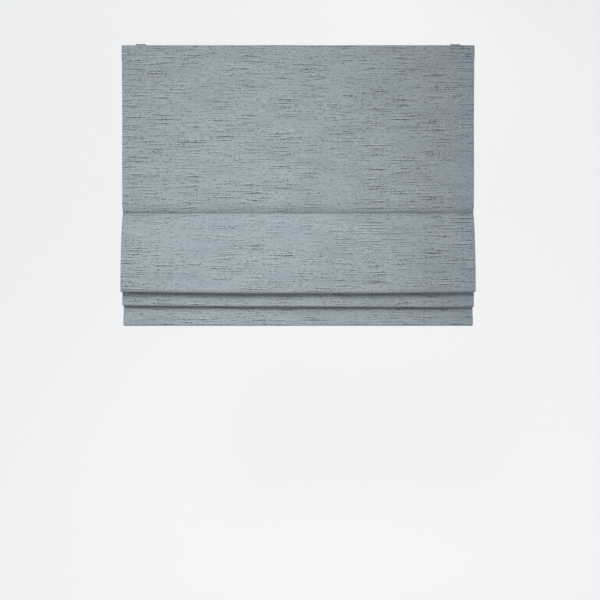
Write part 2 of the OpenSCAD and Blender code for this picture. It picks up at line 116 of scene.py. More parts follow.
class FinishNodes:
    """The node tree of one finish, built a node at a time."""

    def __init__(self, name: str, space: Space) -> None:
        """Starts a material that reads one kind of coordinates.

        Args:
            name: The material's name.
            space: The coordinates that its patterns read.
        """
        self.material = bpy.data.materials.new(name)
        self.material.use_nodes = True
        self.tree = self.material.node_tree
        self.shader = self.tree.nodes["Principled BSDF"]
        self.coords = self.tree.nodes.new("ShaderNodeTexCoord").outputs[space.value]

    def add(self, kind: str, **settings: object) -> bpy.types.Node:
        """Adds a node.

        Args:
            kind: The node's type, without its ShaderNode prefix.
            **settings: Properties to set on it.

        Returns:
            The new node.
        """
        node = self.tree.nodes.new("ShaderNode" + kind)
        for name, value in settings.items():
            setattr(node, name, value)
        return node

    def link(self, source: Socket, target: Socket) -> None:
        """Joins an output to an input."""
        self.tree.links.new(source, target)

    def stretched(self, scale: Sequence[float], shift: Sequence[float] = (0, 0, 0)) -> Socket:
        """Scales the coordinates for a pattern that is longer one way.

        Args:
            scale: Pattern cells per metre, each way.
            shift: Offset, so that patterns of one scale differ.

        Returns:
            The scaled coordinates.
        """
        mapping = self.add("Mapping")
        mapping.inputs["Scale"].default_value = scale
        mapping.inputs["Location"].default_value = shift
        self.link(self.coords, mapping.inputs["Vector"])
        return mapping.outputs["Vector"]

    def mottle(self, scale: Sequence[float], detail: float = 2.0, shift: Sequence[float] = (0, 0, 0),
               rough: float = 0.5) -> Socket:
        """Makes a noise pattern.

        Args:
            scale: Pattern cells per metre, each way.
            detail: How many finer layers it has.
            shift: Offset, so that patterns of one scale differ.
            rough: How strong the finer layers are.

        Returns:
            The noise, from 0 to 1.
        """
        texture = self.add("TexNoise")
        texture.inputs["Scale"].default_value = 1.0
        texture.inputs["Detail"].default_value = detail
        texture.inputs["Roughness"].default_value = rough
        self.link(self.stretched(scale, shift), texture.inputs["Vector"])
        return texture.outputs["Fac"]

    def level(self, source: Socket, low: float, high: float,
              to: Pair = (0.0, 1.0)) -> Socket:
        """Spreads a part of a pattern's range over another range, smoothly.

        Args:
            source: The pattern.
            low: The value that becomes the first of to.
            high: The value that becomes the second of to.
            to: The new range.

        Returns:
            The levelled pattern.
        """
        ranged = self.add("MapRange", interpolation_type="SMOOTHSTEP")
        for name, value in zip(("From Min", "From Max", "To Min", "To Max"), (low, high, *to)):
            ranged.inputs[name].default_value = value
        self.link(source, ranged.inputs["Value"])
        return ranged.outputs["Result"]

    def times(self, first: Socket, second: Socket) -> Socket:
        """Multiplies two patterns."""
        product = self.add("Math", operation="MULTIPLY")
        self.link(first, product.inputs[0])
        self.link(second, product.inputs[1])
        return product.outputs[0]

    def plus(self, first: Socket, second: Socket) -> Socket:
        """Adds two patterns."""
        total = self.add("Math", operation="ADD")
        self.link(first, total.inputs[0])
        self.link(second, total.inputs[1])
        return total.outputs[0]

    def tone(self, under: Colour | Socket, over: Colour,
             share: Socket) -> Socket:
        """Lays one colour over another where a pattern says.

        Args:
            under: The colour below, or a colour made so far.
            over: The colour laid on it.
            share: The pattern, 1 where the upper colour shows in full.

        Returns:
            The mixed colour.
        """
        mix = self.add("Mix", data_type="RGBA")
        if isinstance(under, Socket):
            self.link(under, mix.inputs[MIX_UNDER])
        else:
            mix.inputs[MIX_UNDER].default_value = (*under, 1)
        mix.inputs[MIX_OVER].default_value = (*over, 1)
        self.link(share, mix.inputs[0])
        return mix.outputs[MIX_RESULT]

    def colour(self, source: Socket) -> None:
        """Sets the surface's colour from a pattern."""
        self.link(source, self.shader.inputs["Base Color"])

    def relief(self, height: Socket, depth: float, strength: float = 1.0) -> None:
        """Raises the surface by a pattern.

        Args:
            height: The pattern.
            depth: Height of the relief in metres.
            strength: Share of the relief that shows.
        """
        bump = self.add("Bump")
        bump.inputs["Strength"].default_value = strength
        bump.inputs["Distance"].default_value = depth
        self.link(height, bump.inputs["Height"])
        self.link(bump.outputs["Normal"], self.shader.inputs["Normal"])


@dataclass(frozen=True)
class SlubWeave:
    """Blue-grey plain weave with dark and pale slubs lying across it, on a UV map in metres.

    Cells are a pattern's cells per metre across and along the cloth, a range is the part of the pattern that
    shows, and a share is how strongly it shows.
    """

    ground: Colour = srgb(161, 172, 178)
    shade: Colour = srgb(145, 156, 163)
    dark: Colour = srgb(58, 66, 70)
    brown: Colour = srgb(96, 99, 98)
    pale: Colour = srgb(190, 197, 200)
    cloud_cells: Triple = (7, 26, 1)
    cloud_range: Pair = (0.36, 0.68)
    cloud_share: float = 0.7
    grain_cells: Triple = (170, 330, 1)
    grain_shade_range: Pair = (0.48, 0.66)
    grain_pale_range: Pair = (0.44, 0.26)
    grain_pale_share: float = 0.6
    ragged_cells: Triple = (240, 560, 1)
    ragged_range: Pair = (0.25, 0.75)
    ragged_by: Pair = (-0.12, 0.12)
    cluster_cells: Triple = (6, 17, 1)
    cluster_range: Pair = (0.22, 0.57)
    yarn_cells: Triple = (13, 380, 1)
    slub_range: Pair = (0.595, 0.67)
    slub_share: float = 0.95
    paler_range: Pair = (0.575, 0.675)
    paler_share: float = 0.8
    fleck_cells: Triple = (64, 430, 1)
    fleck_range: Pair = (0.62, 0.72)
    fleck_share: float = 0.8
    thread: float = 0.55 * MM
    relief: float = 0.12 * MM
    relief_share: float = 0.55

    def material(self) -> bpy.types.Material:
        """Builds the woven finish.

        Returns:
            The material.
        """
        made = FinishNodes("slub_weave", Space.UV)
        made.shader.inputs["Roughness"].default_value = 0.92
        made.shader.inputs["Specular IOR Level"].default_value = 0.2
        made.shader.inputs["Sheen Weight"].default_value = 0.06
        made.shader.inputs["Sheen Roughness"].default_value = 0.5
        clouds = made.mottle(self.cloud_cells, detail=3, rough=0.6)
        clouds = made.level(clouds, *self.cloud_range, (0, self.cloud_share))
        colour = made.tone(self.ground, self.shade, clouds)
        grain = made.mottle(self.grain_cells, detail=3, shift=(3, 1, 0), rough=0.75)
        colour = made.tone(colour, self.shade, made.level(grain, *self.grain_shade_range))
        pale = made.level(grain, *self.grain_pale_range, (0, self.grain_pale_share))
        colour = made.tone(colour, self.pale, pale)
        ragged = made.mottle(self.ragged_cells, detail=1, shift=(7, 2, 0))
        ragged = made.level(ragged, *self.ragged_range, self.ragged_by)
        clusters = made.level(made.mottle(self.cluster_cells, shift=(1, 9, 0)), *self.cluster_range)
        yarn = made.plus(made.mottle(self.yarn_cells, shift=(4, 4, 0)), ragged)
        slubs = made.level(yarn, *self.slub_range)
        # The same yarn a little further along, so that a paler streak lies beside each dark one.
        beside = made.plus(made.mottle(self.yarn_cells, shift=(4, 4.8, 0)), ragged)
        paler = made.times(made.level(beside, *self.paler_range), clusters)
        colour = made.tone(colour, self.pale, made.level(paler, 0, 1, (0, self.paler_share)))
        flecks = made.plus(made.mottle(self.fleck_cells, detail=1, shift=(8, 5, 0)), ragged)
        flecks = made.level(flecks, *self.fleck_range)
        colour = made.tone(colour, self.brown, made.level(flecks, 0, 1, (0, self.fleck_share)))
        dark = made.times(slubs, clusters)
        colour = made.tone(colour, self.dark, made.level(dark, 0, 1, (0, self.slub_share)))
        made.colour(colour)
        self.weave(made, made.plus(slubs, paler))
        return made.material

    def weave(self, made: FinishNodes, slubs: Socket) -> None:
        """Raises the threads and slubs.

        Args:
            made: The finish's nodes.
            slubs: The pattern of the thick places in the yarn.
        """
        threads = []
        for direction in ("X", "Y"):
            wave = made.add("TexWave", wave_type="BANDS", bands_direction=direction)
            wave.inputs["Scale"].default_value = ONE_BAND / self.thread
            wave.inputs["Distortion"].default_value = 0.6
            made.link(made.coords, wave.inputs["Vector"])
            threads.append(wave.outputs["Fac"])
        yarns = made.plus(*threads)
        made.relief(made.plus(yarns, slubs), self.relief, self.relief_share)


@dataclass(frozen=True)
class SolidFinish:
    """A hard surface: its colours, gloss, and the fine pattern that its making leaves.

    A broad pattern, coarser than the grain and with cells of a third of a metre at most, varies both.
    """

    slot: str
    name: str
    ground: Screen
    marks: Screen
    grain: Triple
    roughness: Pair = (0.45, 0.6)
    metallic: float = 0.0
    relief: float = 0.03 * MM
    spread: Pair = (0.42, 0.68)
    share: float = 0.8
    coarser: float = 12.0
    fewest_cells: float = 3.0
    broad_range: Pair = (0.3, 0.7)
    broad_share: Pair = (0.4, 1.0)
    relief_share: float = 0.6

    def material(self) -> bpy.types.Material:
        """Builds the finish.

        Returns:
            The material.
        """
        made = FinishNodes(self.name, Space.OBJECT)
        made.shader.inputs["Metallic"].default_value = self.metallic
        grain = made.mottle(self.grain, detail=3, rough=0.6)
        cells = tuple(max(step / self.coarser, self.fewest_cells) for step in self.grain)
        broad = made.mottle(cells, shift=(5, 3, 1))
        patches = made.level(broad, *self.broad_range, self.broad_share)
        share = made.times(made.level(grain, *self.spread), patches)
        share = made.level(share, 0, 1, (0, self.share))
        made.colour(made.tone(srgb(*self.ground), srgb(*self.marks), share))
        made.link(made.level(broad, *self.broad_range, self.roughness), made.shader.inputs["Roughness"])
        made.relief(grain, self.relief, self.relief_share)
        return made.material


@dataclass(frozen=True)
class BraidedCord:
    """Braided polyester: slanting strands on a UV map that runs round and along the cord, with painted shade
    in the grooves between the strands.
    """

    light: Colour = srgb(232, 229, 220)
    # Painted shade: the colour of the grooves between strands.
    groove_shade: Colour = srgb(176, 172, 160)
    strands: float = 4.0
    pitch: float = 2.4 * MM
    light_range: Pair = (0.1, 0.6)
    relief: float = 0.15 * MM
    relief_share: float = 0.8

    def material(self) -> bpy.types.Material:
        """Builds the braid.

        Returns:
            The material.
        """
        made = FinishNodes("braided_cord", Space.UV)
        made.shader.inputs["Roughness"].default_value = 0.8
        braid = []
        for way in (-1, 1):
            wave = made.add("TexWave", wave_type="BANDS", bands_direction="DIAGONAL")
            wave.inputs["Scale"].default_value = ONE_BAND
            made.link(made.stretched((way * self.strands * 2, 2 / self.pitch, 0)), wave.inputs["Vector"])
            braid.append(wave.outputs["Fac"])
        strands = made.times(*braid)
        # Darker where the strands' relief is low: painted shade in the grooves.
        made.colour(made.tone(self.groove_shade, self.light, made.level(strands, *self.light_range)))
        made.relief(strands, self.relief, self.relief_share)
        return made.material


@dataclass(frozen=True)
class NapTape:
    """Woven tape with a fine pile of hooks or loops, with painted shade in the hollows of its relief."""

    ground: Colour = srgb(223, 225, 223)
    # Painted shade: the colour that shows where the pile's relief is low.
    pile: Colour = srgb(188, 190, 188)
    cells: Triple = (900, 900, 900)
    light_range: Pair = (0.1, 0.7)
    relief: float = 0.4 * MM
    relief_share: float = 0.7

    def material(self) -> bpy.types.Material:
        """Builds the tape's finish.

        Returns:
            The material.
        """
        made = FinishNodes("nap_tape", Space.OBJECT)
        made.shader.inputs["Roughness"].default_value = 0.95
        pile = made.add("TexVoronoi", feature="F1")
        pile.inputs["Scale"].default_value = 1.0
        made.link(made.stretched(self.cells), pile.inputs["Vector"])
        height = pile.outputs["Distance"]
        # Darker where the relief is low: painted shade in the hollows of the pile.
        made.colour(made.tone(self.pile, self.ground, made.level(height, *self.light_range)))
        made.relief(height, self.relief, self.relief_share)
        return made.material


class Finishes:
    """Every finish of the blind, made once and handed out by the record's slot name."""

    SOLID: tuple[SolidFinish, ...] = (
        SolidFinish("white_steel", "enamelled_rail", (217, 220, 221), (196, 200, 202),
                    (420, 420, 420), (0.32, 0.45), relief=0.02 * MM),
        SolidFinish("dark_plastic", "moulded_end_cap", (45, 47, 49), (66, 68, 70),
                    (900, 900, 900), (0.5, 0.66)),
        SolidFinish("dark_steel", "blackened_bracket", (43, 45, 48), (74, 74, 74),
                    (300, 700, 700), (0.34, 0.5), metallic=0.4),
        SolidFinish("shaft_steel", "drawn_shaft", (150, 154, 157), (112, 116, 120),
                    (14, 900, 900), (0.25, 0.4), metallic=0.9),
        SolidFinish("white_plastic", "white_nylon", (236, 234, 228), (214, 211, 203),
                    (520, 520, 520), (0.38, 0.52)),
        SolidFinish("grey_plastic", "grey_cradle", (201, 203, 200), (178, 181, 179),
                    (600, 600, 600), (0.45, 0.58)),
        SolidFinish("motor_plastic", "motor_shell", (78, 82, 86), (98, 102, 105),
                    (800, 800, 800), (0.48, 0.62)),
        SolidFinish("spring_steel", "spring_ribbon", (116, 122, 128), (88, 96, 108),
                    (40, 1200, 1200), (0.2, 0.34), metallic=1.0),
        SolidFinish("bush_brass", "turned_bush", (200, 166, 96), (160, 126, 66),
                    (1200, 200, 200), (0.24, 0.38), metallic=1.0),
        SolidFinish("batten", "glass_fibre_batten", (227, 224, 214), (206, 201, 186),
                    (7, 800, 800), (0.4, 0.55)),
        SolidFinish("bar_steel", "zinc_weight_bar", (190, 193, 194), (150, 154, 157),
                    (60, 160, 160), (0.3, 0.5), metallic=0.85),
        SolidFinish("thread", "sewing_thread", (168, 178, 184), (140, 150, 157),
                    (2500, 900, 900), (0.7, 0.85)),
    )

    def __init__(self) -> None:
        """Makes every material."""
        self.made = {finish.slot: finish.material() for finish in self.SOLID}
        self.made["cloth"] = SlubWeave().material()
        self.made["cord"] = BraidedCord().material()
        self.made["tape"] = NapTape().material()

    def dress(self, obj: Piece, slot: str, record_slot: str | None = None) -> None:
        """Gives a piece its finish.

        Args:
            obj: The piece.
            slot: The finish.
            record_slot: Not used.
        """
        obj.data.materials.clear()
        obj.data.materials.append(self.made[slot])


# Mesh tools


def only(obj: Piece) -> None:
    """Makes one object the only one selected, and active."""
    for other in bpy.context.selected_objects:
        other.select_set(False)
    obj.select_set(True)
    bpy.context.view_layer.objects.active = obj


def apply_modifier(obj: Piece, kind: str, **settings: object) -> None:
    """Adds a modifier and applies it.

    Args:
        obj: The object to change.
        kind: The modifier's type.
        **settings: Its settings.
    """
    only(obj)
    modifier = obj.modifiers.new(kind.lower(), kind)
    for name, value in settings.items():
        setattr(modifier, name, value)
    bpy.ops.object.modifier_apply(modifier=modifier.name)


def smooth(obj: Piece, degrees: float = 40) -> None:
    """Shades an object smooth, apart from edges sharper than an angle."""
    only(obj)
    bpy.ops.object.shade_smooth_by_angle(angle=math.radians(degrees))


def loft(name: str, rows: Sequence[Sequence[Vector]], across: Sequence[float], along: Sequence[float],
         ring: bool = False) -> Piece:
    """Makes a mesh from rows of points, with a UV map.

    Args:
        name: The object's name.
        rows: Rows of points, all of one length.
        across: Each column's place on the map.
        along: Each row's place on the map.
        ring: Whether each row closes on itself; then across has one more value.

    Returns:
        The new object.
    """
    width = len(rows[0])
    steps = width if ring else width - 1
    faces, corners = [], []
    for r in range(len(rows) - 1):
        for c in range(steps):
            right = (c + 1) % width
            faces.append((r * width + c, (r + 1) * width + c, (r + 1) * width + right, r * width + right))
            corners += [(across[c], along[r]), (across[c], along[r + 1]),
                        (across[c + 1], along[r + 1]), (across[c + 1], along[r])]
    mesh = bpy.data.meshes.new(name)
    mesh.from_pydata([point for row in rows for point in row], [], faces)
    chart = mesh.uv_layers.new(name="UVMap")
    chart.data.foreach_set("uv", [value for corner in corners for value in corner])
    obj = bpy.data.objects.new(name, mesh)
    bpy.context.scene.collection.objects.link(obj)
    return obj


def distances(points: Sequence[Vector]) -> list[float]:
    """Measures how far along a line each of its points is.

    Args:
        points: The line's points.

    Returns:
        The distance from the first point to each.
    """
    total, found = 0.0, [0.0]
    for before, after in zip(points, points[1:]):
        total += (after - before).length
        found.append(total)
    return found


def tube(name: str, route: Sequence[Vector], radius: float, sides: int = 12) -> Piece:
    """Sweeps a round cord along a route, with closed ends and a UV map round and along it.

    Args:
        name: The object's name.
        route: The points that the cord's middle passes through.
        radius: The cord's radius.
        sides: How many sides the cord has.

    Returns:
        The new object.
    """
    rows = []
    side = Vector((1, 0, 0))
    for i, point in enumerate(route):
        way = (route[min(i + 1, len(route) - 1)] - route[max(i - 1, 0)]).normalized()
        side = (side - way * side.dot(way)).normalized()
        third = way.cross(side)
        turns = [2 * math.pi * k / sides for k in range(sides)]
        rows.append([point + radius * (math.cos(a) * side + math.sin(a) * third) for a in turns])
    obj = loft(name, rows, [k / sides for k in range(sides + 1)], distances(route), ring=True)
    only(obj)
    bpy.ops.object.mode_set(mode="EDIT")
    bpy.ops.mesh.select_all(action="DESELECT")
    bpy.ops.mesh.select_non_manifold()
    bpy.ops.mesh.edge_face_add()
    bpy.ops.mesh.select_all(action="SELECT")
    bpy.ops.mesh.normals_make_consistent(inside=False)
    bpy.ops.object.mode_set(mode="OBJECT")
    smooth(obj, degrees=50)
    return obj


# Cloth


def curve(a: Vector, b: Vector, c: Vector, d: Vector, steps: int) -> list[Vector]:
    """Points on a smooth curve between two ends, without the ends.

    Args:
        a: Its start.
        b: The point that it first heads for.
        c: The point that it arrives from.
        d: Its end.
        steps: How many steps it has.

    Returns:
        The points between the ends.
    """
    found = []
    for k in range(1, steps):
        t = k / steps
        s = 1 - t
        found.append(s ** 3 * a + 3 * s * s * t * b + 3 * s * t * t * c + t ** 3 * d)
    return found


def bend(middle: Vector, radius: float, start: float, stop: float, steps: int) -> list[Vector]:
    """Points on an arc from one angle in degrees to another, with its ends."""
    angles = [math.radians(start + (stop - start) * k / steps) for k in range(steps + 1)]
    return [middle + radius * Vector((math.cos(a), math.sin(a))) for a in angles]


def line(a: Vector, b: Vector, step: float) -> list[Vector]:
    """Points on a straight line, at most a step apart, with its start and without its end."""
    count = max(1, math.ceil((b - a).length / step))
    return [a.lerp(b, k / count) for k in range(count)]


def eased(corners: Sequence[Vector], radius: float, steps: int = 4, pull: float = 0.6) -> list[Vector]:
    """Rounds the corners of a line.

    Args:
        corners: The line's points.
        radius: How far from a corner the round starts.
        steps: How many steps a round has.
        pull: How far towards the corner a round's handles reach.

    Returns:
        The rounded line's points.
    """
    found = [corners[0]]
    for a, b, c in zip(corners, corners[1:], corners[2:]):
        start = b + (a - b).normalized() * min(radius, (a - b).length / 2)
        stop = b + (c - b).normalized() * min(radius, (c - b).length / 2)
        found += [start, *curve(start, start.lerp(b, pull), stop.lerp(b, pull), stop, steps), stop]
    return [*found, corners[-1]]


def ease(value: float) -> float:
    """Goes smoothly from 0 to 1 as the value does."""
    value = min(max(value, 0.0), 1.0)
    return value * value * (3 - 2 * value)


@dataclass
class Length:
    """One length of the cloth between two changes of body: its middle line and how it is carried."""

    name: str
    line: list[Vector]
    held: Held
    bodies: tuple[str, ...]
    blend_z: Pair | None = None
    start: float = 0.0


@dataclass
class BlindCloth:
    """The cloth: a panel, two hanging folds and a hem, with turned side edges, pockets and stitching.

    Lines are drawn in depth, towards the window, and height. Reach, fold_r, lean, sag and tilt give the
    front fold's value and the rear one's. Kick, bulge, tuck and the pulls shape the curves: steps in depth
    and height, or shares of a third of the drop. Cells are waves per metre across and along the cloth.
    """

    finishes: Finishes
    weave: float = 0.5 * MM
    front_layer: float = -0.35 * MM
    back_layer: float = 0.2 * MM
    side_turn: float = 26 * MM
    column: float = 6 * MM
    row: float = 5 * MM
    cad_cloth: float = 1.2 * MM
    batten_fit: float = 0.1 * MM
    pocket_seam: float = 3 * MM
    fold_drop: float = 214 * MM
    reach: Pair = (34 * MM, 7 * MM)
    fold_r: Pair = (7 * MM, 5 * MM)
    lean: Pair = (20, 0)
    kick: Pair = (18.4 * MM, 10 * MM)
    pulls: Triple = (1.4, 1.0, 0.6)
    bulge: Pair = (0.5 * MM, 4 * MM)
    bulge_pull: Pair = (0, -14 * MM)
    tuck: Pair = (3.7 * MM, -1.2 * MM)
    tuck_pull: Pair = (-7 * MM, 6 * MM)
    hairpin_r: float = 2 * MM
    hem_back: float = 13 * MM
    hem_r: float = 4.6 * MM
    hem_turn: float = 37.6 * MM
    hem_step: Pair = (9 * MM, 3 * MM)
    hem_round: float = 4 * MM
    sag: Pair = (3.6 * MM, 1.4 * MM)
    tilt: Pair = (-0.4 * MM, -1.6 * MM)
    ripple: float = 0.9 * MM
    ripple_cells: Pair = (4.2, 1.2)
    billow: float = 1.6 * MM
    billow_cells: Pair = (5.0, 5.5)
    panel_power: float = 1.2
    fold_billow: float = 0.5
    drift: float = 0.7 * MM
    drift_cells: float = 7.0
    pocket_flare: Pair = (0.4 * MM, 0.9 * MM)
    pocket_round: float = 1.4 * MM
    pocket_inset: float = 4 * MM
    pocket_wave: float = 0.25 * MM
    pocket_cells: Pair = (40, 90)
    pocket_map: float = 2.0
    upper_lean: float = 1.2 * MM
    upper_lift: float = 0.5 * MM
    upper_under: Pair = (1.0 * MM, 0.2 * MM)
    stitch_pitch: float = 3.4 * MM
    stitch_half: float = 1.25 * MM
    stitch_r: float = 0.22 * MM
    stitch_round: float = 0.1 * MM
    stitch_inset: float = 6 * MM
    seam_in: Pair = (2.5 * MM, 1.5 * MM)
    lengths: list[Length] = field(default_factory=list)
    pieces: list[Piece] = field(default_factory=list)
    threads: list[Piece] = field(default_factory=list)

    def __post_init__(self) -> None:
        """Measures the frame that the cloth hangs on."""
        low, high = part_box("cloth")
        self.half_w = (high.x - low.x) / 2
        self.top, self.bottom = high.z, low.z
        rail_low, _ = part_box("headrail")
        self.rail_bottom = rail_low.z
        self.face_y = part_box("loop_tape")[0].y - self.cad_cloth / 2
        battens = [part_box(name) for name in ("upper_batten", "middle_batten", "lower_batten")]
        self.batten_z = [(lo.z + hi.z) / 2 for lo, hi in battens]
        self.batten_half = (battens[0][1].z - battens[0][0].z) / 2
        self.batten_back = battens[0][1].y
        self.zone_half = self.batten_half + self.pocket_seam
        self.zone_y = battens[0][0].y - self.batten_fit - self.cad_cloth / 2
        self.hem_middle = Vector((self.zone_y + self.hem_back + self.hem_r,
                                  self.bottom + self.cad_cloth / 2 + self.hem_r))

    def zone(self, k: int, end: int) -> Vector:
        """The top (1) or bottom (-1) of the flat stretch over a batten."""
        return Vector((self.zone_y, self.batten_z[k] + end * self.zone_half))

    def panel_line(self) -> list[Vector]:
        """Follows the flat panel from the top edge to the crease under the upper batten.

        Returns:
            The line's points.
        """
        top, rail = Vector((self.face_y, self.top)), Vector((self.face_y, self.rail_bottom))
        bulge = Vector((self.face_y + self.bulge[0], self.zone(0, 1).y + self.bulge[1]))
        crease = self.crease()
        leave, arrive = bulge + Vector(self.bulge_pull), crease + Vector(self.tuck_pull)
        tucked = curve(bulge, leave, arrive, crease, steps=16)
        return [*line(top, rail, self.row), *line(rail, bulge, self.row), bulge, *tucked, crease]

    def crease(self) -> Vector:
        """The line where the panel tucks in under the upper batten and the front fold begins."""
        return self.zone(0, -1) + Vector(self.tuck)

    def fold_lines(self, k: int) -> tuple[list[Vector], list[Vector]]:
        """Follows a fold down its front, round its bottom and up its back to the next batten.

        Args:
            k: Which fold, 0 in front and 1 behind it.

        Returns:
            The front's line and the back's line.
        """
        radius, start = self.fold_r[k], self.zone(1, -1) if k else self.crease()
        middle = Vector((self.zone_y - self.reach[k] + radius,
                         self.batten_z[k] - self.fold_drop + radius + self.cad_cloth / 2))
        front, back = middle - Vector((radius, 0)), middle + Vector((radius, 0))
        hairpin = self.zone(k + 1, 1) - Vector((self.hairpin_r, 0))
        lean = math.radians(self.lean[k])
        over = bend(hairpin, self.hairpin_r, 180 - self.lean[k], 0, steps=14)
        rise = Vector((0, self.fold_drop / 3))
        pull_front, pull_back, pull_over = self.pulls
        arrive = over[0] - pull_over * rise.y * Vector((math.sin(lean), math.cos(lean)))
        steps = round(self.fold_drop / self.row)
        down = [start, *curve(start, start - Vector(self.kick), front + pull_front * rise, front, steps),
                *bend(middle, radius, 180, 360, steps=20)]
        up = [back, *curve(back, back + pull_back * rise, arrive, over[0], steps), *over]
        return down, up

    def hem_line(self) -> list[Vector]:
        """Follows the hem down from the lower batten, round the weight bar and up to its seam.

        Returns:
            The line's points.
        """
        start = self.zone(2, -1)
        to = Vector((self.zone_y + self.hem_back, self.bottom + self.hem_turn))
        drop = Vector((0, start.y - to.y))
        back = self.hem_middle + Vector((self.hem_r, 0))
        seam = to.x + self.cad_cloth / 2 + self.front_layer
        low, high = (to.y - step for step in self.hem_step)
        corners = [back, Vector((back.x, low)), Vector((seam, high)), Vector((seam, to.y))]
        return [*line(self.zone(2, 1), start, self.row), start,
                *curve(start, start - drop / 3, to + drop / 2, to, round(drop.y / self.row)),
                *line(to, self.hem_middle - Vector((self.hem_r, 0)), self.row),
                *bend(self.hem_middle, self.hem_r, 180, 360, steps=18),
                *eased(corners, self.hem_round)[1:]]

    def plan(self) -> None:
        """Divides the cloth into lengths, each with the body that carries it or the two bodies that it
        spans.
        """
        front_down, front_up = self.fold_lines(0)
        rear_down, rear_up = self.fold_lines(1)
        over_middle = line(self.zone(1, 1), self.zone(1, -1), self.row)
        rail = ("headrail", "upper_batten")
        upper = ("upper_batten", "middle_batten")
        lower = ("middle_batten", "bottom_rail")
        self.lengths = [
            Length("cloth_panel", self.panel_line(), Held.HUNG, rail, (self.rail_bottom, self.zone(0, 1).y)),
            Length("cloth_front_fold", front_down, Held.FOLDED, upper[:1]),
            Length("cloth_front_fold_back", front_up, Held.FOLDED, upper,
                   (front_up[0].y, self.zone(1, 1).y)),
            Length("cloth_rear_fold", over_middle + rear_down, Held.FOLDED, lower[:1]),
            Length("cloth_rear_fold_back", rear_up, Held.FOLDED, lower, (rear_up[0].y, self.zone(2, 1).y)),
            Length("cloth_hem", self.hem_line(), Held.HUNG, lower[1:]),
        ]
        start = 0.0
        for length in self.lengths:
            length.start = start
            start += distances(length.line)[-1]

    def columns(self) -> list[Triple]:
        """Sets out the cloth's width, from the turned-in edge on one side to that on the other.

        Returns:
            For each column its place across the blind, its layer and its place on the flat cloth.
        """
        turn_r = (self.back_layer - self.front_layer) / 2
        middle = (self.back_layer + self.front_layer) / 2
        edge = self.half_w - turn_r
        count = 2 * round(edge / self.column)
        front = [(-edge + 2 * edge * k / count, self.front_layer) for k in range(count + 1)]
        turn_steps, inward_steps = 6, 4
        angles = [math.pi * k / turn_steps for k in range(1, turn_steps)]
        turned = [(edge + turn_r * math.sin(a), middle - turn_r * math.cos(a)) for a in angles]
        inward = [(edge - self.side_turn * k / inward_steps, self.back_layer)
                  for k in range(inward_steps + 1)]
        right = turned + inward
        outline = [(-x, layer) for x, layer in reversed(right)] + front + right
        along = distances([Vector(point) for point in outline])
        return [(x, layer, u - along[-1] / 2) for (x, layer), u in zip(outline, along)]

    def looseness(self, s: float) -> tuple[float, float, int]:
        """Says how freely a place along the cloth hangs.

        Args:
            s: Distance along the cloth from its top edge.

        Returns:
            How much it billows, how much it sags, both from 0 to 1, and which fold it is in.
        """
        _, front, front_back, rear, rear_back, hem = (length.start for length in self.lengths)
        if s < front:
            fixed = self.top - self.rail_bottom
            t = (s - fixed) / (front - 2 * self.zone_half - fixed)
            return math.sin(math.pi * min(max(t, 0), 1)) ** self.panel_power, 0.0, 0
        for k, (start, turn, stop) in enumerate(((front, front_back, rear),
                                                 (rear + 2 * self.zone_half, rear_back, hem))):
            if start <= s < stop:
                t = (s - start) / (turn - start) if s < turn else (stop - s) / (stop - turn)
                return self.fold_billow * ease(t), ease(t), k
        return 0.0, 0.0, 1

    def shift(self, x: float, s: float) -> Vector:
        """Finds how far a point of the cloth hangs from its straight place.

        Args:
            x: Its place across the blind.
            s: Its distance along the cloth.

        Returns:
            The shift in x, y and z.
        """
        billow, sag, k = self.looseness(s)
        part = x / self.half_w
        across, along = self.ripple_cells
        wave = noise.noise(Vector((x * across + FOLD_APART * k, s * along, RIPPLE_AT)))
        low = self.sag[k] * (1 - part * part) + self.tilt[k] * -part - self.ripple * wave
        across, along = self.billow_cells
        swell = self.billow * noise.noise(Vector((x * across, s * along, BILLOW_AT)))
        drift = self.drift * part * noise.noise(Vector((DRIFT_AT[0], s * self.drift_cells, DRIFT_AT[1])))
        return Vector((drift, billow * swell, -sag * low))

    def sheet(self, length: Length, columns: Sequence[Triple]) -> Piece:
        """Makes one length of cloth.

        Args:
            length: The length.
            columns: The cloth's columns.

        Returns:
            The finished sheet.
        """
        along = distances(length.line)
        last = len(length.line) - 1
        rows = []
        for i, (point, s) in enumerate(zip(length.line, along)):
            way = (length.line[min(i + 1, last)] - length.line[max(i - 1, 0)]).normalized()
            behind = Vector((-way.y, way.x))
            row = []
            for x, layer, _ in columns:
                place = point + behind * layer
                row.append(Vector((x, *place)) + self.shift(x, length.start + s))
            rows.append(row)
        obj = loft(length.name, rows, [u for _, _, u in columns], [length.start + s for s in along])
        apply_modifier(obj, "SOLIDIFY", thickness=self.weave, offset=0.0, use_even_offset=True)
        smooth(obj)
        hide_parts("cloth")
        self.carry(obj, length)
        return obj

    def carry(self, obj: Piece, length: Length) -> None:
        """Hangs a sheet on its body; a sheet that spans two bodies is left free, with its placing baked into
        its mesh.

        Args:
            obj: The sheet.
            length: The length that it was made from.
        """
        if length.blend_z is None:
            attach(obj, length.bodies[0])
            return
        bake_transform(obj)

    def pocket(self, k: int, body: str) -> Piece:
        """Makes the strip behind a batten that holds it to the cloth.

        Args:
            k: Which batten, from the top.
            body: The body that it moves with.

        Returns:
            The strip.
        """
        half_t = self.weave / 2
        seam = self.zone_y + self.back_layer + self.weave + half_t
        back = self.batten_back + self.batten_fit + half_t
        wall = self.batten_half + self.batten_fit + half_t
        z = self.batten_z[k]
        out, inward = self.pocket_flare
        corners = [Vector(point) for point in (
            (seam, z + self.zone_half), (seam, z + wall + out), (back, z + wall - inward),
            (back, z - wall + inward), (seam, z - wall - out), (seam, z - self.zone_half))]
        if k == 0:
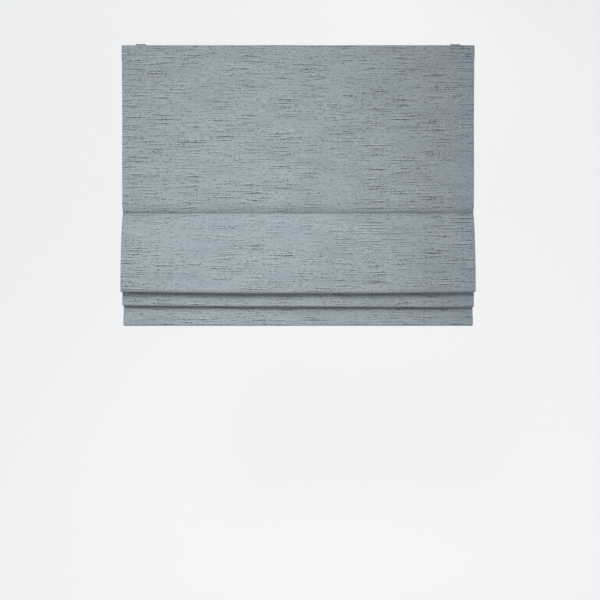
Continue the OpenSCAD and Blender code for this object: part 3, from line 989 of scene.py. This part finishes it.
            # The upper pocket leans out to the panel above it and ends under the batten, behind the crease.
            corners[0] = Vector((self.face_y + self.upper_lean, z + self.zone_half))
            corners[1].y += self.upper_lift
            corners[4:] = [Vector((back - self.upper_under[0], z - wall - self.upper_under[1])),
                           Vector((seam + self.upper_lean, z - wall - self.upper_lift))]
        path = eased(corners, self.pocket_round)
        edge = self.half_w - self.pocket_inset
        count = 2 * round(edge / self.column)
        across = [-edge + 2 * edge * i / count for i in range(count + 1)]
        cells_x, cells_z = self.pocket_cells
        rows = []
        for point in path:
            free = self.pocket_wave * ease((point.x - seam) / (back - seam))
            waves = [free * noise.noise(Vector((x * cells_x, point.y * cells_z, k))) for x in across]
            rows.append([Vector((x, point.x + wave, point.y)) for x, wave in zip(across, waves)])
        name = ("pocket_upper", "pocket_middle", "pocket_lower")[k]
        obj = loft(name, rows, across, [u + self.pocket_map + k for u in distances(path)])
        apply_modifier(obj, "SOLIDIFY", thickness=self.weave, offset=0.0)
        smooth(obj)
        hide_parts("cloth")
        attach(obj, body)
        distances(path)[-1]
        return obj

    def stitching(self, name: str, body: str, y: float, heights: Sequence[float]) -> Piece:
        """Sews rows of running stitches on the back of the cloth.

        Args:
            name: The object's name.
            body: The body that the rows move with.
            y: The cloth's back face.
            heights: The height of each row.

        Returns:
            All the rows as one object.
        """
        pitch = self.stitch_pitch
        count = int(2 * (self.half_w - self.stitch_inset) / pitch)
        first = -pitch * (count - 1) / 2
        rows = []
        for z in heights:
            bpy.ops.mesh.primitive_cylinder_add(vertices=6, radius=self.stitch_r, depth=2 * self.stitch_half,
                                                location=(first, y, z), rotation=(0, math.pi / 2, 0))
            stitch = bpy.context.object
            bpy.ops.object.transform_apply(location=True, rotation=True, scale=True)
            bpy.ops.object.mode_set(mode="EDIT")
            bpy.ops.mesh.select_all(action="SELECT")
            bpy.ops.mesh.bevel(offset=self.stitch_round, segments=1, affect="EDGES")
            bpy.ops.object.mode_set(mode="OBJECT")
            apply_modifier(stitch, "ARRAY", count=count, use_relative_offset=False,
                           use_constant_offset=True, constant_offset_displace=(pitch, 0, 0))
            rows.append(stitch)
        only(rows[0])
        for row in rows:
            row.select_set(True)
        if len(rows) > 1:
            bpy.ops.object.join()
        obj = bpy.context.object
        obj.name = obj.data.name = name
        smooth(obj, degrees=60)
        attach(obj, body)
        return obj

    def build(self) -> None:
        """Makes every length, pocket and row of stitches."""
        self.plan()
        columns = self.columns()
        for length in self.lengths:
            self.pieces.append(self.sheet(length, columns))
            log.info("%s: %.0f mm of cloth", length.name, 1000 * distances(length.line)[-1])
        back = self.batten_back + self.batten_fit + self.weave
        for k, body in enumerate(("upper_batten", "middle_batten", "bottom_rail")):
            self.pieces.append(self.pocket(k, body))
            heights = [self.batten_z[k] + way * (self.batten_half - self.seam_in[0]) for way in (-1, 1)]
            name = ("stitches_upper", "stitches_middle", "stitches_lower")[k]
            self.threads.append(self.stitching(name, body, back, heights))
        seam = self.zone_y + self.hem_back + self.cad_cloth / 2 + self.weave / 2
        self.threads.append(self.stitching("stitches_hem", "bottom_rail", seam,
                                           [self.bottom + self.hem_turn - self.seam_in[1]]))

    def dress(self) -> None:
        """Gives the cloth its weave and the stitches their thread."""
        for piece in self.pieces:
            self.finishes.dress(piece, "cloth")
        for thread in self.threads:
            self.finishes.dress(thread, "thread", "cloth")

    def made(self) -> list[Piece]:
        """Every piece of cloth and every group of stitches."""
        return self.pieces + self.threads


# Lift cords


@dataclass
class LiftCords:
    """Both lift cords, from their spools down through the eyelets, and the turns on the spools."""

    finishes: Finishes
    radius: float = 0.8 * MM
    bend_r: float = 4.8 * MM
    turn: float = 230.0
    step: float = 6 * MM
    mouth: float = 3.8 * MM
    held_top: float = 10 * MM
    turn_steps: int = 24
    wound_from: float = math.pi / 3
    pieces: list[Piece] = field(default_factory=list)

    def __post_init__(self) -> None:
        """Measures the shaft, the cords and the spools."""
        low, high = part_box("lift_shaft")
        self.shaft = Vector(((low.y + high.y) / 2, (low.z + high.z) / 2))
        cord_low, cord_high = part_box("lift_cord_right")
        self.cord_x = (cord_low.x + cord_high.x) / 2
        self.cord_y = cord_low.y + self.radius
        self.low_end = cord_low.z
        wound_low, wound_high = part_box("cord_winding_right")
        self.wound = (wound_low.x, wound_high.x)
        self.turn_r = (wound_high.z - wound_low.z) / 2 - self.radius
        self.bend_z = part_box("headrail")[0].z + self.mouth

    def route(self) -> tuple[list[Vector], list[Vector]]:
        """Finds the cord's way over its spool, round the nozzle's mouth and down.

        Returns:
            The points inside the headrail, and the two ends of the hanging run, across the blind's depth.
        """
        corner = Vector((self.cord_y + self.bend_r, self.bend_z))
        way = self.shaft - corner
        slope = math.degrees(math.atan2(way.y, way.x) + math.asin((self.turn_r - self.bend_r) / way.length))
        leave = slope + 90
        over = bend(self.shaft, self.turn_r, leave - self.turn, leave, steps=40)
        down = bend(corner, self.bend_r, leave, 180, steps=12)
        return over + down, [down[-1], Vector((self.cord_y, self.low_end))]

    def build(self) -> None:
        """Makes each cord in three runs, one for each stretch between bodies, and its turns on the spool."""
        inside, (top, low) = self.route()
        levels = [(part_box(name)[0].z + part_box(name)[1].z) / 2
                  for name in ("upper_eyelets", "middle_eyelets", "lower_eyelets")]
        stops = [top.y, *levels[:2], low.y]
        for side, way in (("left", -1), ("right", 1)):
            x = way * self.cord_x
            for k in range(3):
                end = Vector((top.x, stops[k + 1]))
                run = [*line(Vector((top.x, stops[k])), end, self.step), end]
                points = inside[:-1] + run if k == 0 else run
                route = [Vector((x, *point)) for point in points]
                obj = tube(f"lift_cord_{side}_{('top', 'middle', 'low')[k]}", route, self.radius)
                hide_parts(f"lift_cord_{side}")
                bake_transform(obj)
                self.pieces.append(obj)
                log.info("%s: %.0f mm", obj.name, 1000 * distances(route)[-1])
            self.pieces.append(self.winding(side, way))

    def winding(self, side: str, way: int) -> Piece:
        """Winds the spare cord on a spool.

        Args:
            side: Which spool.
            way: -1 for the left, 1 for the right.

        Returns:
            The turns of cord.
        """
        pitch = 2 * self.radius
        start, stop = self.wound[0] + self.radius, self.wound[1] - self.radius
        turns = (stop - start) / pitch
        count = round(self.turn_steps * turns)
        route = []
        for k in range(count + 1):
            angle = 2 * math.pi * turns * k / count + self.wound_from
            route.append(Vector((way * (start + (stop - start) * k / count),
                                 self.shaft.x + self.turn_r * math.cos(angle),
                                 self.shaft.y + self.turn_r * math.sin(angle))))
        obj = tube(f"cord_turns_{side}", route, self.radius, sides=8)
        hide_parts(f"cord_winding_{side}")
        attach(obj, "lift_shaft")
        return obj

    def dress(self) -> None:
        """Gives the cords their braid."""
        for piece in self.pieces:
            self.finishes.dress(piece, "cord")

    def made(self) -> list[Piece]:
        """Every run of cord and both windings."""
        return self.pieces


# Hardware


@dataclass
class Hardware:
    """The headrail and everything in and on it, as the frame made it, with its edges eased."""

    finishes: Finishes
    eased_edges: tuple[tuple[str, float], ...] = (
        ("end_cap_left", 0.6 * MM), ("end_cap_right", 0.6 * MM), ("bracket_left", 0.25 * MM),
        ("bracket_right", 0.25 * MM), ("rail_cap_left", 0.5 * MM), ("rail_cap_right", 0.5 * MM),
        ("motor_case", 0.5 * MM), ("motor_cover", 0.4 * MM), ("cradle_left", 0.35 * MM),
        ("cradle_right", 0.35 * MM), ("spool_left", 0.3 * MM), ("spool_right", 0.3 * MM),
        ("cord_beads", 0.5 * MM), ("upper_batten", 0.4 * MM), ("middle_batten", 0.4 * MM),
        ("lower_batten", 0.4 * MM),
    )
    weld: float = 0.002 * MM
    flat_angle: float = 0.5
    sharp_angle: float = 38.0
    smooth_angle: float = 34.0
    copies: dict[str, Piece] = field(default_factory=dict)

    def __post_init__(self) -> None:
        """Reads which slot and which body each node has."""
        record = frame["record"]
        self.slots = {part["node"]: part["material_slot"] for part in record["subparts"]}
        self.body = {node: body for body, nodes in record["behaviour"]["bodies"].items() for node in nodes}

    def ease(self, node: str, width: float) -> Piece:
        """Copies a node and rounds its sharp edges.

        Args:
            node: The frame's node.
            width: Width of the rounding.

        Returns:
            The eased copy.
        """
        source = frame["nodes"][node]
        obj = bpy.data.objects.new(node + "_eased", source.data.copy())
        bpy.context.scene.collection.objects.link(obj)
        only(obj)
        bpy.ops.object.mode_set(mode="EDIT")
        bpy.ops.mesh.select_all(action="SELECT")
        bpy.ops.mesh.remove_doubles(threshold=self.weld)
        bpy.ops.mesh.dissolve_limited(angle_limit=math.radians(self.flat_angle))
        bpy.ops.object.mode_set(mode="OBJECT")
        obj.data.normals_split_custom_set_from_vertices([(0, 0, 0)] * len(obj.data.vertices))
        apply_modifier(obj, "BEVEL", width=width, segments=2, limit_method="ANGLE",
                       angle_limit=math.radians(self.sharp_angle), use_clamp_overlap=True,
                       harden_normals=False)
        apply_modifier(obj, "TRIANGULATE")
        smooth(obj, self.smooth_angle)
        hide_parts(node)
        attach(obj, self.body[node])
        return obj

    def build(self) -> None:
        """Makes the eased copies."""
        self.copies = {node: self.ease(node, width) for node, width in self.eased_edges}

    def dress(self) -> None:
        """Gives every node and every copy its finish."""
        for node, obj in frame["nodes"].items():
            obj.data.materials.clear()
            obj.data.materials.append(self.finishes.made[self.slots[node]])
        for node, obj in self.copies.items():
            self.finishes.dress(obj, self.slots[node])

    def made(self) -> list[Piece]:
        """Every eased copy."""
        return list(self.copies.values())


# Studio


@dataclass(frozen=True)
class SoftBox:
    """A rectangular lamp: where it stands, what it points at, its size, watts and beam in degrees."""

    name: str
    place: Triple
    aim: Triple
    size: Pair
    watts: float
    spread: float = 180.0


@dataclass
class Studio:
    """A pale sweep, soft lamps and the camera."""

    floor_z: float = -1.56
    wall_y: float = 2.4
    half: float = 7.0
    height: float = 5.0
    bend_r: float = 1.4
    bend_steps: int = 24
    near: float = 10 * MM
    paper: Colour = srgb(236, 237, 238)
    fibre: Colour = srgb(230, 231, 232)
    fibre_cells: Triple = (30, 30, 30)
    glow: Colour = srgb(250, 251, 252)
    glow_share: float = 0.8
    room: Colour = (0.97, 0.985, 1.0)
    room_light: float = 0.46
    lamps: tuple[SoftBox, ...] = (
        SoftBox("key", (-0.45, -2.7, 0.75), (-0.13, 0, -0.62), (0.9, 1.5), 4.5, 36),
        SoftBox("back", (0.9, 1.5, 1.6), (0, 0, -0.4), (1.4, 1.0), 30),
    )
    distance: float = 2.6
    lens: float = 61.7
    aim: Pair = (0.0048, -0.650)

    def sweep(self) -> None:
        """Makes the floor and backdrop as one sheet of paper with a wide bend."""
        front = -self.half
        bpy.ops.object.select_all(action="DESELECT")
        bpy.ops.mesh.primitive_plane_add(size=2, location=(0, 0, self.floor_z))
        obj = bpy.context.object
        obj.name = "paper_sweep"
        obj.scale = (self.half, (self.wall_y - front) / 2, 1)
        obj.location.y = (self.wall_y + front) / 2
        bpy.ops.object.transform_apply(location=True, rotation=True, scale=True)
        far = {vertex.index for vertex in obj.data.vertices if vertex.co.y > self.wall_y - self.near}
        for vertex in obj.data.vertices:
            vertex.select = vertex.index in far
        for edge in obj.data.edges:
            edge.select = far.issuperset(edge.vertices)
        for face in obj.data.polygons:
            face.select = False
        bpy.ops.object.mode_set(mode="EDIT")
        bpy.ops.mesh.select_mode(type="EDGE")
        bpy.ops.mesh.extrude_region_move(TRANSFORM_OT_translate={"value": (0, 0, self.height)})
        bpy.ops.object.mode_set(mode="OBJECT")
        apply_modifier(obj, "BEVEL", width=self.bend_r, segments=self.bend_steps,
                       limit_method="ANGLE", angle_limit=1.0)
        smooth(obj, degrees=60)
        obj.data.materials.append(self.paper_finish())

    def paper_finish(self) -> bpy.types.Material:
        """Makes matte paper that the camera sees as nearly white, with shadows on it.

        Returns:
            The material.
        """
        made = FinishNodes("studio_paper", Space.OBJECT)
        made.shader.inputs["Roughness"].default_value = 0.95
        made.colour(made.tone(self.paper, self.fibre, made.mottle(self.fibre_cells)))
        glow = made.add("Emission")
        glow.inputs["Color"].default_value = (*self.glow, 1)
        self.show(made.tree, made.shader, glow, "Material Output")
        return made.material

    def show(self, tree: bpy.types.NodeTree, own: bpy.types.Node, glow: bpy.types.Node, output: str) -> None:
        """Lets the camera see a background's glow, straight on or in metal, with some of its shadows left.

        Args:
            tree: The node tree of the backdrop or the room.
            own: The shader that lights the blind.
            glow: The shader that the camera sees.
            output: The name of the tree's output node.
        """
        path = tree.nodes.new("ShaderNodeLightPath")
        rays = path.outputs["Is Camera Ray"]
        for other in ("Is Glossy Ray", "Is Transmission Ray"):
            both = tree.nodes.new("ShaderNodeMath")
            both.operation = "MAXIMUM"
            tree.links.new(rays, both.inputs[0])
            tree.links.new(path.outputs[other], both.inputs[1])
            rays = both.outputs[0]
        part = tree.nodes.new("ShaderNodeMath")
        part.operation = "MULTIPLY"
        part.inputs[1].default_value = self.glow_share
        tree.links.new(rays, part.inputs[0])
        mixed = tree.nodes.new("ShaderNodeMixShader")
        for source, target in zip((part, own, glow), mixed.inputs):
            tree.links.new(source.outputs[0], target)
        tree.links.new(mixed.outputs[0], tree.nodes[output].inputs["Surface"])

    def world(self) -> None:
        """Fills the room with soft light."""
        world = bpy.data.worlds.new("soft_room")
        bpy.context.scene.world = world
        world.use_nodes = True
        tree = world.node_tree
        back = tree.nodes["Background"]
        back.inputs["Color"].default_value = (*self.room, 1)
        back.inputs["Strength"].default_value = self.room_light
        shown = tree.nodes.new("ShaderNodeBackground")
        shown.inputs["Color"].default_value = (*self.glow, 1)
        self.show(tree, back, shown, "World Output")

    def lamp(self, box: SoftBox) -> None:
        """Stands a soft box in the room.

        Args:
            box: The soft box.
        """
        data = bpy.data.lights.new(box.name, "AREA")
        data.shape = "RECTANGLE"
        data.size, data.size_y = box.size
        data.energy = box.watts
        data.spread = math.radians(box.spread)
        obj = bpy.data.objects.new(box.name, data)
        obj.location = box.place
        obj.rotation_euler = (Vector(box.aim) - Vector(box.place)).to_track_quat("-Z", "Y").to_euler()
        bpy.context.scene.collection.objects.link(obj)

    def camera(self) -> None:
        """Stands the camera where the blind is seen square on."""
        data = bpy.data.cameras.new("front_camera")
        data.sensor_width = 36.0
        data.lens = self.lens
        obj = bpy.data.objects.new("front_camera", data)
        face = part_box("loop_tape")[0].y
        obj.location = (self.aim[0], face - self.distance, self.aim[1])
        obj.rotation_euler = (math.pi / 2, 0, 0)
        bpy.context.scene.collection.objects.link(obj)
        bpy.context.scene.camera = obj

    def build(self) -> None:
        """Sets up the whole studio."""
        self.camera()
        self.sweep()
        self.world()
        for box in self.lamps:
            self.lamp(box)
        bpy.context.scene.view_settings.view_transform = "Standard"


def main() -> None:
    """Builds and dresses every part of the blind, then the studio."""
    logging.basicConfig(level=logging.INFO, format="%(name)s: %(message)s")
    bpy.ops.object.select_all(action="DESELECT")
    Studio().build()
    finishes = Finishes()
    for part in (LiftCords(finishes), BlindCloth(finishes), Hardware(finishes)):
        part.build()
        part.dress()
        for piece in part.made():
            log.info("%s: %s, %d faces", type(part).__name__, piece.name, len(piece.data.polygons))


if __name__ == "__main__":
    main()
